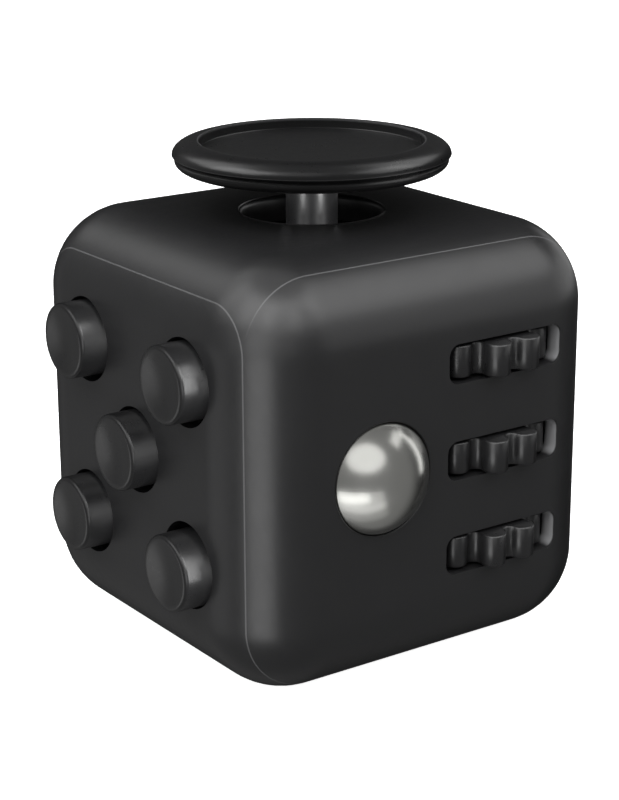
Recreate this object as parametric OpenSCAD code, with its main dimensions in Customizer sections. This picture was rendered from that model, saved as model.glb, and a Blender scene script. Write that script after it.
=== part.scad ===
// Fidget cube: a rounded case with a thumb joystick, five push buttons, three
// thumb wheels with a rolling ball, a flip switch, a spin dial and a thumb dish.
// Millimetres, +Z up, origin under the middle of the case, -Y is the wheel face.

/* [Case] */
// outside size of the case on each side
body_size = 33; // [30:0.5:40]
// radius of the case's edges and corners
edge_r = 6.5; // [5:0.1:7]
// wall thickness of the case
wall = 2; // [1.8:0.1:2.4]
// depth of the front and back covers behind their faces
cover_depth = 3; // [2.6:0.1:4]
// depth of the top cover under the top face
top_depth = 2.9; // [2.6:0.1:3.4]
// radius of the seam where side, front and top meet
seam_r = 3.5; // [2:0.1:4]
// radius of the pegs that hold the covers on
peg_r = 0.8; // [0.6:0.05:1]

/* [Joystick] */
// radius of the thumb disc
disc_r = 10.7; // [9:0.1:11]
// height of the disc's widest line over the top face
disc_rise = 4.35; // [4:0.05:5.5]
// thickness of the disc over its widest line
disc_over = 1.15; // [0.8:0.05:1.3]
// thickness of the disc's rim under its widest line
disc_under = 1.2; // [0.9:0.05:1.3]
// radius of the recess in the disc
recess_r = 8.65; // [7:0.05:9]
// radius of the joystick's stem
stem_r = 2; // [1.6:0.05:2.3]
// radius of the hole in the top face
top_hole_r = 5.4; // [5:0.1:5.8]
// depth of the joystick's pivot under the top face
pivot_depth = 6.5; // [6.2:0.1:7]
// greatest tilt of the joystick about each axis, in degrees
stick_tilt = 10; // [6:1:10]

/* [Buttons] */
// radius of a button's cap
button_r = 2.93; // [2.5:0.01:3]
// clearance round a button in its hole
button_gap = 0.36; // [0.28:0.02:0.38]
// distance of the outer buttons from the middle one, front to back
button_pitch_y = 7.05; // [6.8:0.05:7.3]
// distance of the outer buttons from the middle one, up and down
button_pitch_z = 7; // [6.8:0.05:7]
// how far the buttons stand out of the side face
button_stand = 2; // [1.4:0.1:2.4]
// travel of a button
button_travel = 1.1; // [0.8:0.1:1.2]

/* [Wheels] */
// radius over the lobes of a thumb wheel
wheel_r = 5.7; // [5.2:0.05:5.75]
// thickness of a thumb wheel
wheel_thick = 2.5; // [2:0.1:2.7]
// distance from wheel to wheel
wheel_pitch = 7.45; // [6.8:0.05:7.5]
// how far a wheel stands out of the front face
wheel_stand = 1.5; // [1:0.1:1.6]
// number of lobes on a wheel
wheel_lobes = 10; // [8:1:12]
// radius of the wheels' axle
axle_r = 1; // [0.8:0.05:1.2]

/* [Ball] */
// radius of the rolling ball
ball_r = 5; // [4.6:0.05:5.05]
// how far the ball stands out of the front face
ball_stand = 2.2; // [1.6:0.1:2.4]
// travel of the ball when it is pressed
ball_travel = 0.8; // [0.4:0.1:0.9]

/* [Flip switch] */
// radius of the rocker's round ends about its pin
rocker_r = 6.3; // [5.6:0.1:6.6]
// width of the rocker
rocker_width = 5.4; // [4.6:0.1:5.6]
// tilt of the rocker to each side of its middle position, in degrees
rocker_tilt = 11; // [7:1:12]

/* [Dial] */
// radius of the spin dial
dial_r = 7.5; // [6:0.1:8.5]
// how far the dial's nub stands out of the back face
dial_stand = 2.2; // [1.6:0.1:2.4]

/* [Thumb dish] */
// radius of the dish's rim in the bottom face
dish_r = 8.4; // [7:0.1:9]
// depth of the dish
dish_depth = 1.4; // [1:0.1:1.6]

/* [Fits] */
// radial clearance of a turning or sliding fit
run_gap = 0.05; // [0.02:0.01:0.08]
// clearance between pieces that are fixed to each other
face_gap = 0.02; // [0.01:0.01:0.04]
// width of the seams between the case's shells
seam_gap = 0.06; // [0.04:0.01:0.12]

/* [Hidden] */
$fn = 48;
block_fn = 32;
mid = body_size / 2;
big = body_size * 2;
inner = mid - wall;
flat = mid - edge_r;
// the walls stay this thick across the case's rounded edges
room_edge = flat * sqrt(2) + edge_r - 2;
seam_y = mid - cover_depth;
seam_z = mid - top_depth;

// the pieces beside the wheels and the ball keep to the middle of the case
module_z = 0.3;
button_y = -0.3;
wheel_x = 5.9;
ball_x = -5.4;

rail_in = inner - 3.7;
rail_low = button_pitch_z + button_r + button_gap + module_z + 0.54;
rail_top = seam_z - 0.2;
rail_foot = -button_pitch_z - button_r - button_gap - module_z - 0.31;
peg_x = inner - 2.1;
peg_z = (rail_low + rail_top) / 2;
foot_peg_z = (rail_foot - inner) / 2;
peg_in = 5;
top_peg_y = 6;

// one small screw fixes every inner frame
screw_r = 0.55;
screw_length = 2.6;
screw_head_r = 1.15;
screw_head = 0.7;
post_r = 1.5;

// joystick, with heights measured from the middle of the case
pivot_z = mid - pivot_depth;
top_z = mid;
disc_line = top_z + disc_rise;
disc_low = disc_line - disc_under;
disc_top = disc_line + disc_over;
web_low = disc_low + 0.5;
recess_floor = disc_line + 0.4;
spigot_r = 1.2;
cross_half = 1.3;
cross_pin_r = 0.7;
prong_in = 1.6;
prong_out = 3;
prong_half = 1.3;
prong_side = prong_half - 0.05;
crown_r = 3.3;
crown_low = pivot_z + 2.4;
crown_thick = 0.2;
collar_r = 5.8;
collar_low = pivot_z + 2.2;
collar_top = pivot_z + 3;
socket_top = pivot_z - 3.2;
socket_low = socket_top - 1.2;
socket_r = 5.3;
stick_posts = [[7.3, 4.2], [-7.3, 4.2], [-1.2, -8.3]];
spring_r = 4.6;
spring_wire = 0.3;

// buttons, with the side face at -mid: rear or front, upper or lower, and how far
// the cap sits over or under the middle of its hole
button_spots = [[1, 1, 0.12], [-1, 1, 0.12], [0, 0, 0.12], [1, -1, 0.12], [-1, -1, -0.24]];
button_hole_r = button_r + button_gap;
flange_r = button_hole_r + 0.28;
flange_thick = 0.7;
flange_gap = 0.1;
button_foot_r = 1.1;
button_foot = inner - 1.8;
pad_front = inner - 3;
pad_thick = 0.5;
plate_front = pad_front - pad_thick - face_gap;
plate_thick = 0.8;
plate_post_z = 8.2;

// wheels and ball, with the front face at -mid
axle_y = -mid + wheel_r - wheel_stand;
slot_half_x = 5.35;
slot_half_z = wheel_thick / 2 + 0.25;
slot_corner = 0.85;
ball_y = -mid - ball_stand + ball_r;
// the mouth's bevel is 0.4 wide round the ball's seat
ball_rim_r = sqrt(pow(ball_r + run_gap, 2) - pow(ball_r - ball_stand, 2)) + 0.4;
bracket_post_z = 11.7;
bracket_tab_y = -9.5;
ear_thick = 1;
ear_gap = 0.3;
ear_top = module_z + wheel_pitch + wheel_thick / 2 + ear_gap;
ear_bottom = module_z - wheel_pitch - wheel_thick / 2 - ear_gap;
cup_r = 4.4;
cup_floor = ball_y + ball_r + run_gap;
cup_back = cup_floor + 0.8;
cup_stem_r = 1.5;
frame_y = cup_back + 2.15;
frame_thick = 1;
frame_post_z = 7;

// flip switch, with the side face at +mid
rocker_x = mid - 3.3;
rocker_dip = 0.7;
rocker_pin_r = 0.8;
// the ends reach this angle, so that a pressed end lies level with the face
rocker_end = asin((mid - rocker_x) / rocker_r) + rocker_tilt;
rocker_hole_z = rocker_r + 0.25;
rocker_hole_y = rocker_width / 2 + 0.3;
rocker_post_y = 6.3;
rocker_plate = mid - 6.6;
rocker_plate_thick = 1;
leaf_thick = 0.25;

// dial, with the back face at +mid
pocket_depth = 1.1;
dial_proud = 0.8;
dial_shaft_r = 2;
dial_boss_end = inner - 2.5;
nub_r = 1.5;
nub_at = 4.6;

dish_sphere_r = (dish_r * dish_r + dish_depth * dish_depth) / (2 * dish_depth);
dish_back = dish_depth + 1.8;

// every piece is drawn about the middle of the case, then raised onto the table
module placed() {
  translate([0, 0, mid]) children();
}

// cylinders along the row axes, from one coordinate to another
module rod_x(y, z, r, from, to) {
  translate([from, y, z]) rotate([0, 90, 0]) cylinder(r = r, h = to - from);
}

module rod_y(x, z, r, from, to) {
  translate([x, to, z]) rotate([90, 0, 0]) cylinder(r = r, h = to - from);
}

module rod_z(x, y, r, from, to) {
  translate([x, y, from]) cylinder(r = r, h = to - from);
}

// a box from one corner to the other
module span(low, high) {
  translate(low) cube(high - low);
}

function arc(cx, cy, r, from, to, steps) =
  [for (i = [0 : steps]) [cx + r * cos(from + (to - from) * i / steps),
    cy + r * sin(from + (to - from) * i / steps)]];

function round_box(hx, hy, r) = concat(
  arc(hx - r, hy - r, r, 0, 90, 6), arc(r - hx, hy - r, r, 90, 180, 6),
  arc(r - hx, r - hy, r, 180, 270, 6), arc(hx - r, r - hy, r, 270, 360, 6));

// the case's outside, a cube with round edges and corners
module block() {
  // a sphere's rings stop short of its poles, so its radius makes that up
  ring_r = edge_r / cos(180 / block_fn);
  hull() for (x = [-1, 1]) for (y = [-1, 1]) for (z = [-1, 1])
    translate([x * flat, y * flat, z * flat]) sphere(r = ring_r, $fn = block_fn);
}

// the hollow in the case, with its edges cut off under the rounded ones
module room() {
  intersection() {
    cube(inner * 2, center = true);
    rotate([45, 0, 0]) cube([big, room_edge * 2, room_edge * 2], center = true);
    rotate([0, 45, 0]) cube([room_edge * 2, big, room_edge * 2], center = true);
    rotate([0, 0, 45]) cube([room_edge * 2, room_edge * 2, big], center = true);
  }
}

// side outline of the body shell, between the covers and under the top one
module body_zone(gap) {
  e = seam_y + gap;
  t = seam_z + gap;
  r = seam_r + gap;
  rotate([90, 0, 90]) linear_extrude(height = big, center = true)
    polygon(concat([[-e, -big], [e, -big]],
      arc(e - r, t - r, r, 0, 90, 8), arc(r - e, t - r, r, 90, 180, 8)));
}

// the shell of the front cover, which fills the corner over the rounded seam
module end_shell() {
  difference() {
    intersection() {
      block();
      span([-mid - 1, -mid - 1, -mid - 1], [mid + 1, seam_r - seam_y, mid + 1]);
    }
    body_zone(seam_gap / 2);
    span([-mid - 2, -seam_y - seam_gap / 2, seam_z - seam_gap / 2], [mid + 2, mid, mid + 2]);
    room();
  }
}

module case_screw() {
  // points along -Z, with its head's underside at the origin
  cylinder(r = screw_head_r, h = screw_head);
  translate([0, 0, -screw_length]) cylinder(r = screw_r, h = screw_length + screw_head / 2);
}

module coil(mean_r, wire_r, turns, from, to) {
  steps = turns * 16;
  sides = 6;
  low = from + wire_r;
  rise = to - from - 2 * wire_r;
  points = [for (i = [0 : steps]) for (j = [0 : sides - 1])
    let (a = 360 * turns * i / steps, b = 360 * j / sides, r = mean_r + wire_r * cos(b))
      [r * cos(a), r * sin(a), low + rise * i / steps + wire_r * sin(b)]];
  walls = [for (i = [0 : steps - 1]) for (j = [0 : sides - 1])
    let (k = (j + 1) % sides)
      [i * sides + j, (i + 1) * sides + j, (i + 1) * sides + k, i * sides + k]];
  first = [for (j = [0 : sides - 1]) j];
  last = [for (j = [0 : sides - 1]) steps * sides + sides - 1 - j];
  polyhedron(points = points, faces = concat(walls, [first, last]));
}

// ---- case ----

module cover_pegs() {
  for (x = [-1, 1]) for (z = [peg_z, foot_peg_z])
    rod_y(x * peg_x, z, peg_r, -inner - 0.1, peg_in - inner);
}

// what stands on the body shell's walls inside the hollow
module body_blocks() {
  // rails that take the covers' pegs
  for (x = [-1, 1]) {
    span([min(x * rail_in, x * mid), -mid, rail_low], [max(x * rail_in, x * mid), mid, rail_top]);
    span([min(x * rail_in, x * mid), -mid, -mid], [max(x * rail_in, x * mid), mid, rail_foot]);
  }
  // posts for the backplate, posts for the rocker's frame, back of the dish
  for (z = [-1, 1])
    rod_x(button_y, module_z + z * plate_post_z, post_r, -mid, -plate_front - face_gap);
  for (y = [-1, 1])
    rod_x(y * rocker_post_y, 0, post_r, rocker_plate + rocker_plate_thick + face_gap, mid);
  rod_z(0, 0, dish_r + 1, -mid, -mid + dish_back);
}

module body_shell() {
  color("#2b2b2d") placed() difference() {
    intersection() {
      block();
      body_zone(-seam_gap / 2);
    }
    difference() {
      room();
      body_blocks();
    }
    for (b = button_spots)
      rod_x(button_y + b[0] * button_pitch_y, module_z + b[1] * button_pitch_z, button_hole_r,
        -mid - 1, -inner + 0.01);
    translate([inner - 0.01, 0, 0]) rotate([90, 0, 90]) linear_extrude(height = wall + 1)
      polygon(round_box(rocker_hole_y, rocker_hole_z, 0.6));
    for (z = [-1, 1])
      rod_x(button_y, module_z + z * plate_post_z, screw_r + face_gap, -inner + 0.2, -plate_front + 1);
    for (y = [-1, 1])
      rod_x(y * rocker_post_y, 0, screw_r + face_gap, rocker_plate, inner - 0.2);
    for (x = [-1, 1]) {
      for (z = [peg_z, foot_peg_z]) for (y = [-1, 1])
        rod_y(x * peg_x, z, peg_r + run_gap, y * (inner - peg_in / 2) - peg_in / 2 - 0.3,
          y * (inner - peg_in / 2) + peg_in / 2 + 0.3);
      for (y = [-1, 1])
        rod_z(x * peg_x, y * top_peg_y, peg_r + run_gap, rail_low - 1, rail_top + 1);
    }
    translate([0, 0, -mid + dish_depth - dish_sphere_r]) sphere(r = dish_sphere_r);
  }
}

module front_cover() {
  color("#2a2a2c") placed() difference() {
    union() {
      end_shell();
      cover_pegs();
      for (z = [-1, 1])
        rod_y(ball_x, module_z + z * frame_post_z, post_r, -inner - 0.5, frame_y - face_gap);
      for (z = [-1, 1])
        rod_y(wheel_x, module_z + z * bracket_post_z, post_r, -inner - 0.5, bracket_tab_y - face_gap);
    }
    // three slots, each with a wider pocket behind its mouth
    for (i = [-1 : 1]) {
      translate([wheel_x, -inner + 0.5, module_z + i * wheel_pitch]) rotate([90, 0, 0])
        linear_extrude(height = wall + 2) polygon(round_box(slot_half_x, slot_half_z, slot_corner));
      span([wheel_x - slot_half_x - 0.35, -mid + 1.2, module_z + i * wheel_pitch - slot_half_z - 0.3],
        [wheel_x + slot_half_x + 0.35, -inner + 0.5, module_z + i * wheel_pitch + slot_half_z + 0.3]);
    }
    // the ball's seat and the bevel round its mouth
    translate([ball_x, ball_y, module_z]) sphere(r = ball_r + run_gap);
    translate([ball_x, -mid - 0.01, module_z]) rotate([-90, 0, 0])
      cylinder(r1 = ball_rim_r, r2 = ball_rim_r - 0.7, h = 0.7);
    for (z = [-1, 1])
      rod_y(ball_x, module_z + z * frame_post_z, screw_r + face_gap, frame_y - 3.2, frame_y);
    for (z = [-1, 1])
      rod_y(wheel_x, module_z + z * bracket_post_z, screw_r + face_gap, bracket_tab_y - 3.2, bracket_tab_y);
  }
}

module back_cover() {
  color("#2a2a2c") placed() difference() {
    union() {
      mirror([0, 1, 0]) {
        end_shell();
        cover_pegs();
      }
      rod_y(0, 0, dial_shaft_r + 2, dial_boss_end, inner + 0.5);
    }
    rod_y(0, 0, dial_r + 0.3, mid - pocket_depth, mid + 1);
    rod_y(0, 0, dial_shaft_r + run_gap, dial_boss_end - 1, mid);
  }
}

module top_cover() {
  e = seam_y - seam_gap / 2;
  color("#2c2c2e") placed() difference() {
    union() {
      difference() {
        intersection() {
          block();
          span([-mid, -e, seam_z + seam_gap / 2], [mid, e, mid + 1]);
        }
        room();
      }
      for (x = [-1, 1]) for (y = [-1, 1])
        rod_z(x * peg_x, y * top_peg_y, peg_r, rail_low + 0.3, inner + 0.1);
      for (p = stick_posts) rod_z(p[0], p[1], post_r, socket_top + face_gap, inner + 0.5);
    }
    rod_z(0, 0, top_hole_r, inner - 1, mid + 1);
    for (p = stick_posts) rod_z(p[0], p[1], screw_r + face_gap, socket_top, socket_top + 3.2);
  }
}

// ---- joystick ----

module thumb_cap() {
  b = disc_line + face_gap / 2;
  h = disc_top - b;
  crest = recess_r + 0.1;
  // a shoulder that rises to its crest beside the steep wall of the recess
  color("#333335") placed() rotate_extrude()
    polygon(concat([[0, b], [disc_r, b]],
      [for (i = [1 : 9]) [crest + (disc_r - crest) * cos(i * 90 / 9), b + h * sin(i * 90 / 9)]],
      [[recess_r, disc_top - 0.1], [recess_r, recess_floor], [0, recess_floor - 0.1]]));
}

module thumb_plate() {
  t = disc_line - face_gap / 2;
  h = t - disc_low;
  // the plate's edge stands a little back under the cap's
  edge = disc_r - 0.25;
  lip = edge - recess_r;
  color("#2e2e30") placed() rotate_extrude()
    polygon(concat([[spigot_r + face_gap, t], [spigot_r + face_gap, web_low], [recess_r - 0.7, web_low]],
      [[recess_r, disc_low]],
      [for (i = [8 : -1 : 0]) [edge - lip * 0.55 + lip * 0.55 * cos(i * 90 / 8), t - h * sin(i * 90 / 8)]]));
}

module stick_stem() {
  color("#333335") placed() difference() {
    union() {
      rod_z(0, 0, stem_r, crown_low, web_low - face_gap);
      rod_z(0, 0, spigot_r, web_low - 0.5, disc_line - face_gap);
      rod_z(0, 0, crown_r, crown_low, crown_low + crown_thick);
      // the fork's two prongs
      for (y = [-1, 1]) {
        translate([0, y * (prong_in + prong_out) / 2, (pivot_z + crown_low + crown_thick / 2) / 2])
          cube([prong_side * 2, prong_out - prong_in, crown_low + crown_thick / 2 - pivot_z], center = true);
        rod_y(0, pivot_z, prong_half, y * (prong_in + prong_out) / 2 - (prong_out - prong_in) / 2,
          y * (prong_in + prong_out) / 2 + (prong_out - prong_in) / 2);
      }
    }
    rod_y(0, pivot_z, cross_pin_r + run_gap, -big, big);
  }
}

module stick_collar() {
  seat = crown_low + crown_thick + face_gap;
  color("#1f1f21") placed() difference() {
    union() {
      rod_z(0, 0, collar_r, collar_low, collar_top);
      rod_z(0, 0, stem_r + 1, collar_low, collar_top + 0.5);
    }
    rod_z(0, 0, stem_r + face_gap, collar_low - 1, big);
    rod_z(0, 0, crown_r + face_gap, collar_low - 1, seat);
  }
}

module joint_cross() {
  color("#b9babd") placed() union() {
    translate([0, 0, pivot_z]) cube(cross_half * 2, center = true);
    rod_x(0, pivot_z, cross_pin_r, -prong_out, prong_out);
    rod_y(0, pivot_z, cross_pin_r, -prong_out, prong_out);
  }
}

module stick_socket() {
  color("#3a3a3d") placed() difference() {
    union() {
      rod_z(0, 0, socket_r, socket_low, socket_top);
      for (p = stick_posts) {
        rod_z(p[0], p[1], post_r + 0.1, socket_low, socket_top);
        rotate([0, 0, atan2(p[1], p[0])])
          span([2, -post_r, socket_low], [norm(p), post_r, socket_top]);
      }
      for (x = [-1, 1]) {
        translate([x * (prong_in + prong_out) / 2, 0, (socket_top - 0.5 + pivot_z) / 2])
          cube([prong_out - prong_in, prong_side * 2, pivot_z - socket_top + 0.5], center = true);
        rod_x(0, pivot_z, prong_half, x * (prong_in + prong_out) / 2 - (prong_out - prong_in) / 2,
          x * (prong_in + prong_out) / 2 + (prong_out - prong_in) / 2);
      }
    }
    rod_x(0, pivot_z, cross_pin_r + run_gap, -big, big);
    for (p = stick_posts) rod_z(p[0], p[1], screw_r + face_gap, socket_low - 1, socket_top + 1);
  }
}

module stick_spring() {
  color("#c4c6c9") placed()
    coil(spring_r, spring_wire, 4, socket_top + face_gap, collar_low - face_gap);
}

// ---- buttons ----

module button(spot) {
  cap_end = -mid - button_stand;
  dish = 14;
  color("#343437") placed()
    translate([0, button_y + spot[0] * button_pitch_y, module_z + spot[1] * button_pitch_z + spot[2]])
    difference() {
      union() {
        translate([cap_end, 0, 0]) rotate([0, 90, 0])
          cylinder(r1 = button_r - 0.3, r2 = button_r, h = 0.3);
        rod_x(0, 0, button_r, cap_end + 0.3, -inner + 0.3);
        rod_x(0, 0, flange_r, -inner + flange_gap, -inner + flange_gap + flange_thick);
        rod_x(0, 0, button_foot_r, -inner + 0.2, -button_foot);
      }
      // shallow hollow for the fingertip
      translate([cap_end - dish + 0.22, 0, 0]) sphere(r = dish);
    }
}

module button_upper_rear() {
  button(button_spots[0]);
}

module button_upper_front() {
  button(button_spots[1]);
}

module button_centre() {
  button(button_spots[2]);
}

module button_lower_rear() {
  button(button_spots[3]);
}

module button_lower_front() {
  button(button_spots[4]);
}

module dome_pad() {
  top = -button_foot + face_gap;
  foot_r = 2.6;
  color("#8d8f93") placed() difference() {
    union() {
      translate([-pad_front, button_y - button_pitch_y - 3.1, module_z - button_pitch_z - 3.1])
        cube([pad_thick, button_pitch_y * 2 + 6.2, button_pitch_z * 2 + 6.2]);
      for (b = button_spots)
        translate([top, button_y + b[0] * button_pitch_y, module_z + b[1] * button_pitch_z])
          rotate([0, 90, 0]) cylinder(r1 = 1.6, r2 = foot_r, h = -pad_front - top + 0.1);
    }
    for (b = button_spots)
      translate([top + 0.4, button_y + b[0] * button_pitch_y, module_z + b[1] * button_pitch_z])
        rotate([0, 90, 0]) cylinder(r1 = 1.2, r2 = foot_r - 0.3, h = -pad_front - top + pad_thick);
    for (z = [-1, 1])
      rod_x(button_y, module_z + z * plate_post_z, post_r + 0.15, -big, big);
  }
}

module button_backplate() {
  color("#2f4a3c") placed() difference() {
    union() {
      translate([-plate_front, button_y - button_pitch_y - 3, module_z - plate_post_z - 1.6])
        cube([plate_thick, button_pitch_y * 2 + 6, plate_post_z * 2 + 3.2]);
    }
    for (z = [-1, 1])
      rod_x(button_y, module_z + z * plate_post_z, screw_r + face_gap, -big, big);
  }
}

// ---- thumb wheels ----

module wheel(step) {
  lobe_r = 0.98;
  // where one lobe points while the part rests
  rest_turn = -104.5;
  color("#38383b") placed()
    translate([wheel_x, axle_y, module_z + step * wheel_pitch - wheel_thick / 2])
    linear_extrude(height = wheel_thick) difference() {
      union() {
        circle(r = wheel_r - 1.45);
        for (i = [0 : wheel_lobes - 1])
          rotate([0, 0, rest_turn + i * 360 / wheel_lobes]) translate([wheel_r - lobe_r, 0]) circle(r = lobe_r);
      }
      circle(r = axle_r + run_gap);
    }
}

module wheel_upper() {
  wheel(1);
}

module wheel_middle() {
  wheel(0);
}

module wheel_lower() {
  wheel(-1);
}

module wheel_axle() {
  color("#b4b6b9") placed()
    rod_z(wheel_x, axle_y, axle_r, ear_bottom - ear_thick, ear_top + ear_thick);
}

module wheel_spacers() {
  gap = 0.1;
  r = min(axle_r + 0.9, axle_y + inner - gap);
  color("#d8d6cf") placed() for (i = [-1, 1])
    translate([wheel_x, axle_y, module_z + i * wheel_pitch / 2]) difference() {
      cylinder(r = r, h = wheel_pitch - wheel_thick - 2 * gap, center = true);
      cylinder(r = axle_r + face_gap, h = wheel_pitch, center = true);
    }
}

module wheel_bracket() {
  spine_y = axle_y + wheel_r + 0.3;
  // the ears end behind the front wall, however near to it the axle comes
  ear_front = max(axle_y - 2, 0.1 - inner);
  color("#3a3a3d") placed() difference() {
    union() {
      span([wheel_x - 2.5, spine_y, ear_bottom - ear_thick], [wheel_x + 2.5, spine_y + 0.9, ear_top + ear_thick]);
      span([wheel_x - 2, ear_front, ear_top], [wheel_x + 2, spine_y + 0.5, ear_top + ear_thick]);
      span([wheel_x - 2, ear_front, ear_bottom - ear_thick], [wheel_x + 2, spine_y + 0.5, ear_bottom]);
      span([wheel_x - post_r, bracket_tab_y, ear_top + ear_thick / 2],
        [wheel_x + post_r, bracket_tab_y + 1, module_z + bracket_post_z + post_r]);
      span([wheel_x - post_r, bracket_tab_y, module_z - bracket_post_z - post_r],
        [wheel_x + post_r, bracket_tab_y + 1, ear_bottom - ear_thick / 2]);
    }
    rod_z(wheel_x, axle_y, axle_r + face_gap, -big, big);
    for (z = [-1, 1])
      rod_y(wheel_x, module_z + z * bracket_post_z, screw_r + face_gap, -big, big);
  }
}

// ---- rolling ball ----

module roll_ball() {
  color("#c9ccd0") placed() translate([ball_x, ball_y, module_z]) sphere(r = ball_r);
}

module ball_cup() {
  rim_y = ball_y + 2.9;
  color("#d5d3cc") placed() difference() {
    union() {
      rod_y(ball_x, module_z, cup_r, rim_y, cup_back);
      rod_y(ball_x, module_z, cup_stem_r, cup_back - 0.3, frame_y + frame_thick + 0.6);
    }
    translate([ball_x, ball_y, module_z]) sphere(r = ball_r + run_gap);
  }
}

module ball_spring() {
  color("#c4c6c9") placed() translate([ball_x, 0, module_z]) rotate([-90, 0, 0])
    coil(2.4, 0.22, 2, cup_back + face_gap, frame_y - face_gap);
}

module ball_frame() {
  color("#3a3a3d") placed() difference() {
    span([ball_x - 2, frame_y, module_z - frame_post_z - post_r],
      [ball_x + 2, frame_y + frame_thick, module_z + frame_post_z + post_r]);
    rod_y(ball_x, module_z, cup_stem_r + run_gap, -big, big);
    for (z = [-1, 1])
      rod_y(ball_x, module_z + z * frame_post_z, screw_r + face_gap, -big, big);
  }
}

// ---- flip switch ----

module flip_rocker() {
  foot = 1.3;
  color("#343437") placed() translate([rocker_x, 0, 0]) rotate([0, rocker_tilt, 0]) difference() {
    rotate([90, 0, 0]) linear_extrude(height = rocker_width, center = true)
      polygon(concat([[rocker_r * sin(rocker_end) - rocker_dip, 0]],
        arc(0, 0, rocker_r, rocker_end - 90, -85, 8), [[-foot, -1.6], [-foot, 1.6]],
        arc(0, 0, rocker_r, 85, 90 - rocker_end, 8)));
    rod_y(0, 0, rocker_pin_r + run_gap, -big, big);
  }
}

module rocker_pin() {
  color("#b4b6b9") placed()
    rod_y(rocker_x, 0, rocker_pin_r, -rocker_width / 2 - 1.35, rocker_width / 2 + 1.35);
}

module rocker_frame() {
  ear_half = 2.2;
  ear_in = rocker_width / 2 + 0.3;
  color("#3a3a3d") placed() difference() {
    union() {
      span([rocker_plate, -rocker_post_y - post_r, -ear_half],
        [rocker_plate + rocker_plate_thick, rocker_post_y + post_r, ear_half]);
      for (y = [-1, 1])
        translate([(rocker_plate + inner - 0.1) / 2, y * (ear_in + 0.55), 0])
          cube([inner - 0.1 - rocker_plate, 1.1, ear_half * 2], center = true);
    }
    rod_y(rocker_x, 0, rocker_pin_r + face_gap, -big, big);
    for (y = [-1, 1])
      rod_x(y * rocker_post_y, 0, screw_r + face_gap, -big, big);
  }
}

module rocker_leaf() {
  low = rocker_plate + rocker_plate_thick + face_gap;
  tip = low + 0.6;
  color("#c4c6c9") placed() rotate([90, 0, 0]) linear_extrude(height = 3, center = true)
    polygon([[low, -1.6], [tip, -4.2], [tip + leaf_thick, -4.1], [low + leaf_thick, -1.5],
      [low + leaf_thick, 1.5], [tip + leaf_thick, 4.1], [tip, 4.2], [low, 1.6]]);
}

// ---- spin dial ----

module spin_dial() {
  base = mid - pocket_depth + 0.1;
  face = mid + dial_proud;
  color("#343437") placed() difference() {
    union() {
      rod_y(0, 0, dial_r, base, face - 0.4);
      translate([0, face - 0.4, 0]) rotate([-90, 0, 0]) cylinder(r1 = dial_r, r2 = dial_r - 0.4, h = 0.4);
      rod_y(0, 0, dial_shaft_r, dial_boss_end - face_gap, base + 0.5);
      rod_y(0, nub_at, nub_r, face - 0.5, mid + dial_stand - 0.4);
      translate([0, mid + dial_stand - 0.4, nub_at]) rotate([-90, 0, 0])
        cylinder(r1 = nub_r, r2 = nub_r - 0.4, h = 0.4);
    }
    rod_y(0, 0, 0.7 + face_gap, dial_boss_end - 1, inner + 0.3);
  }
}

module dial_washer() {
  color("#b4b6b9") placed() difference() {
    rod_y(0, 0, dial_shaft_r + 1.2, dial_boss_end - 0.75, dial_boss_end - 0.05);
    rod_y(0, 0, 0.7 + face_gap, -big, big);
  }
}

module dial_screw() {
  color("#8f9195") placed() union() {
    rod_y(0, 0, 1.6, dial_boss_end - 1.55, dial_boss_end - 0.75 - face_gap);
    rod_y(0, 0, 0.7, dial_boss_end - 1, inner);
  }
}

// ---- screws of the inner frames ----

module mount_screws() {
  color("#8f9195") placed() {
    for (p = stick_posts)
      translate([p[0], p[1], socket_low - face_gap]) rotate([180, 0, 0]) case_screw();
    for (z = [-1, 1])
      translate([ball_x, frame_y + frame_thick + face_gap, module_z + z * frame_post_z])
        rotate([-90, 0, 0]) case_screw();
    for (z = [-1, 1])
      translate([wheel_x, bracket_tab_y + 1 + face_gap, module_z + z * bracket_post_z])
        rotate([-90, 0, 0]) case_screw();
    for (z = [-1, 1])
      translate([-plate_front + plate_thick + face_gap, button_y, module_z + z * plate_post_z])
        rotate([0, 90, 0]) case_screw();
    for (y = [-1, 1])
      translate([rocker_plate - face_gap, y * rocker_post_y, 0]) rotate([0, -90, 0]) case_screw();
  }
}

body_shell();
front_cover();
top_cover();
back_cover();
thumb_cap();
thumb_plate();
stick_stem();
stick_collar();
joint_cross();
stick_socket();
stick_spring();
button_upper_rear();
button_upper_front();
button_centre();
button_lower_rear();
button_lower_front();
dome_pad();
button_backplate();
wheel_upper();
wheel_middle();
wheel_lower();
wheel_axle();
wheel_spacers();
wheel_bracket();
roll_ball();
ball_cup();
ball_spring();
ball_frame();
flip_rocker();
rocker_pin();
rocker_frame();
rocker_leaf();
spin_dial();
dial_washer();
dial_screw();
mount_screws();
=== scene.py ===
import math

import bmesh
import bpy
from mathutils import Matrix, Vector


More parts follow.
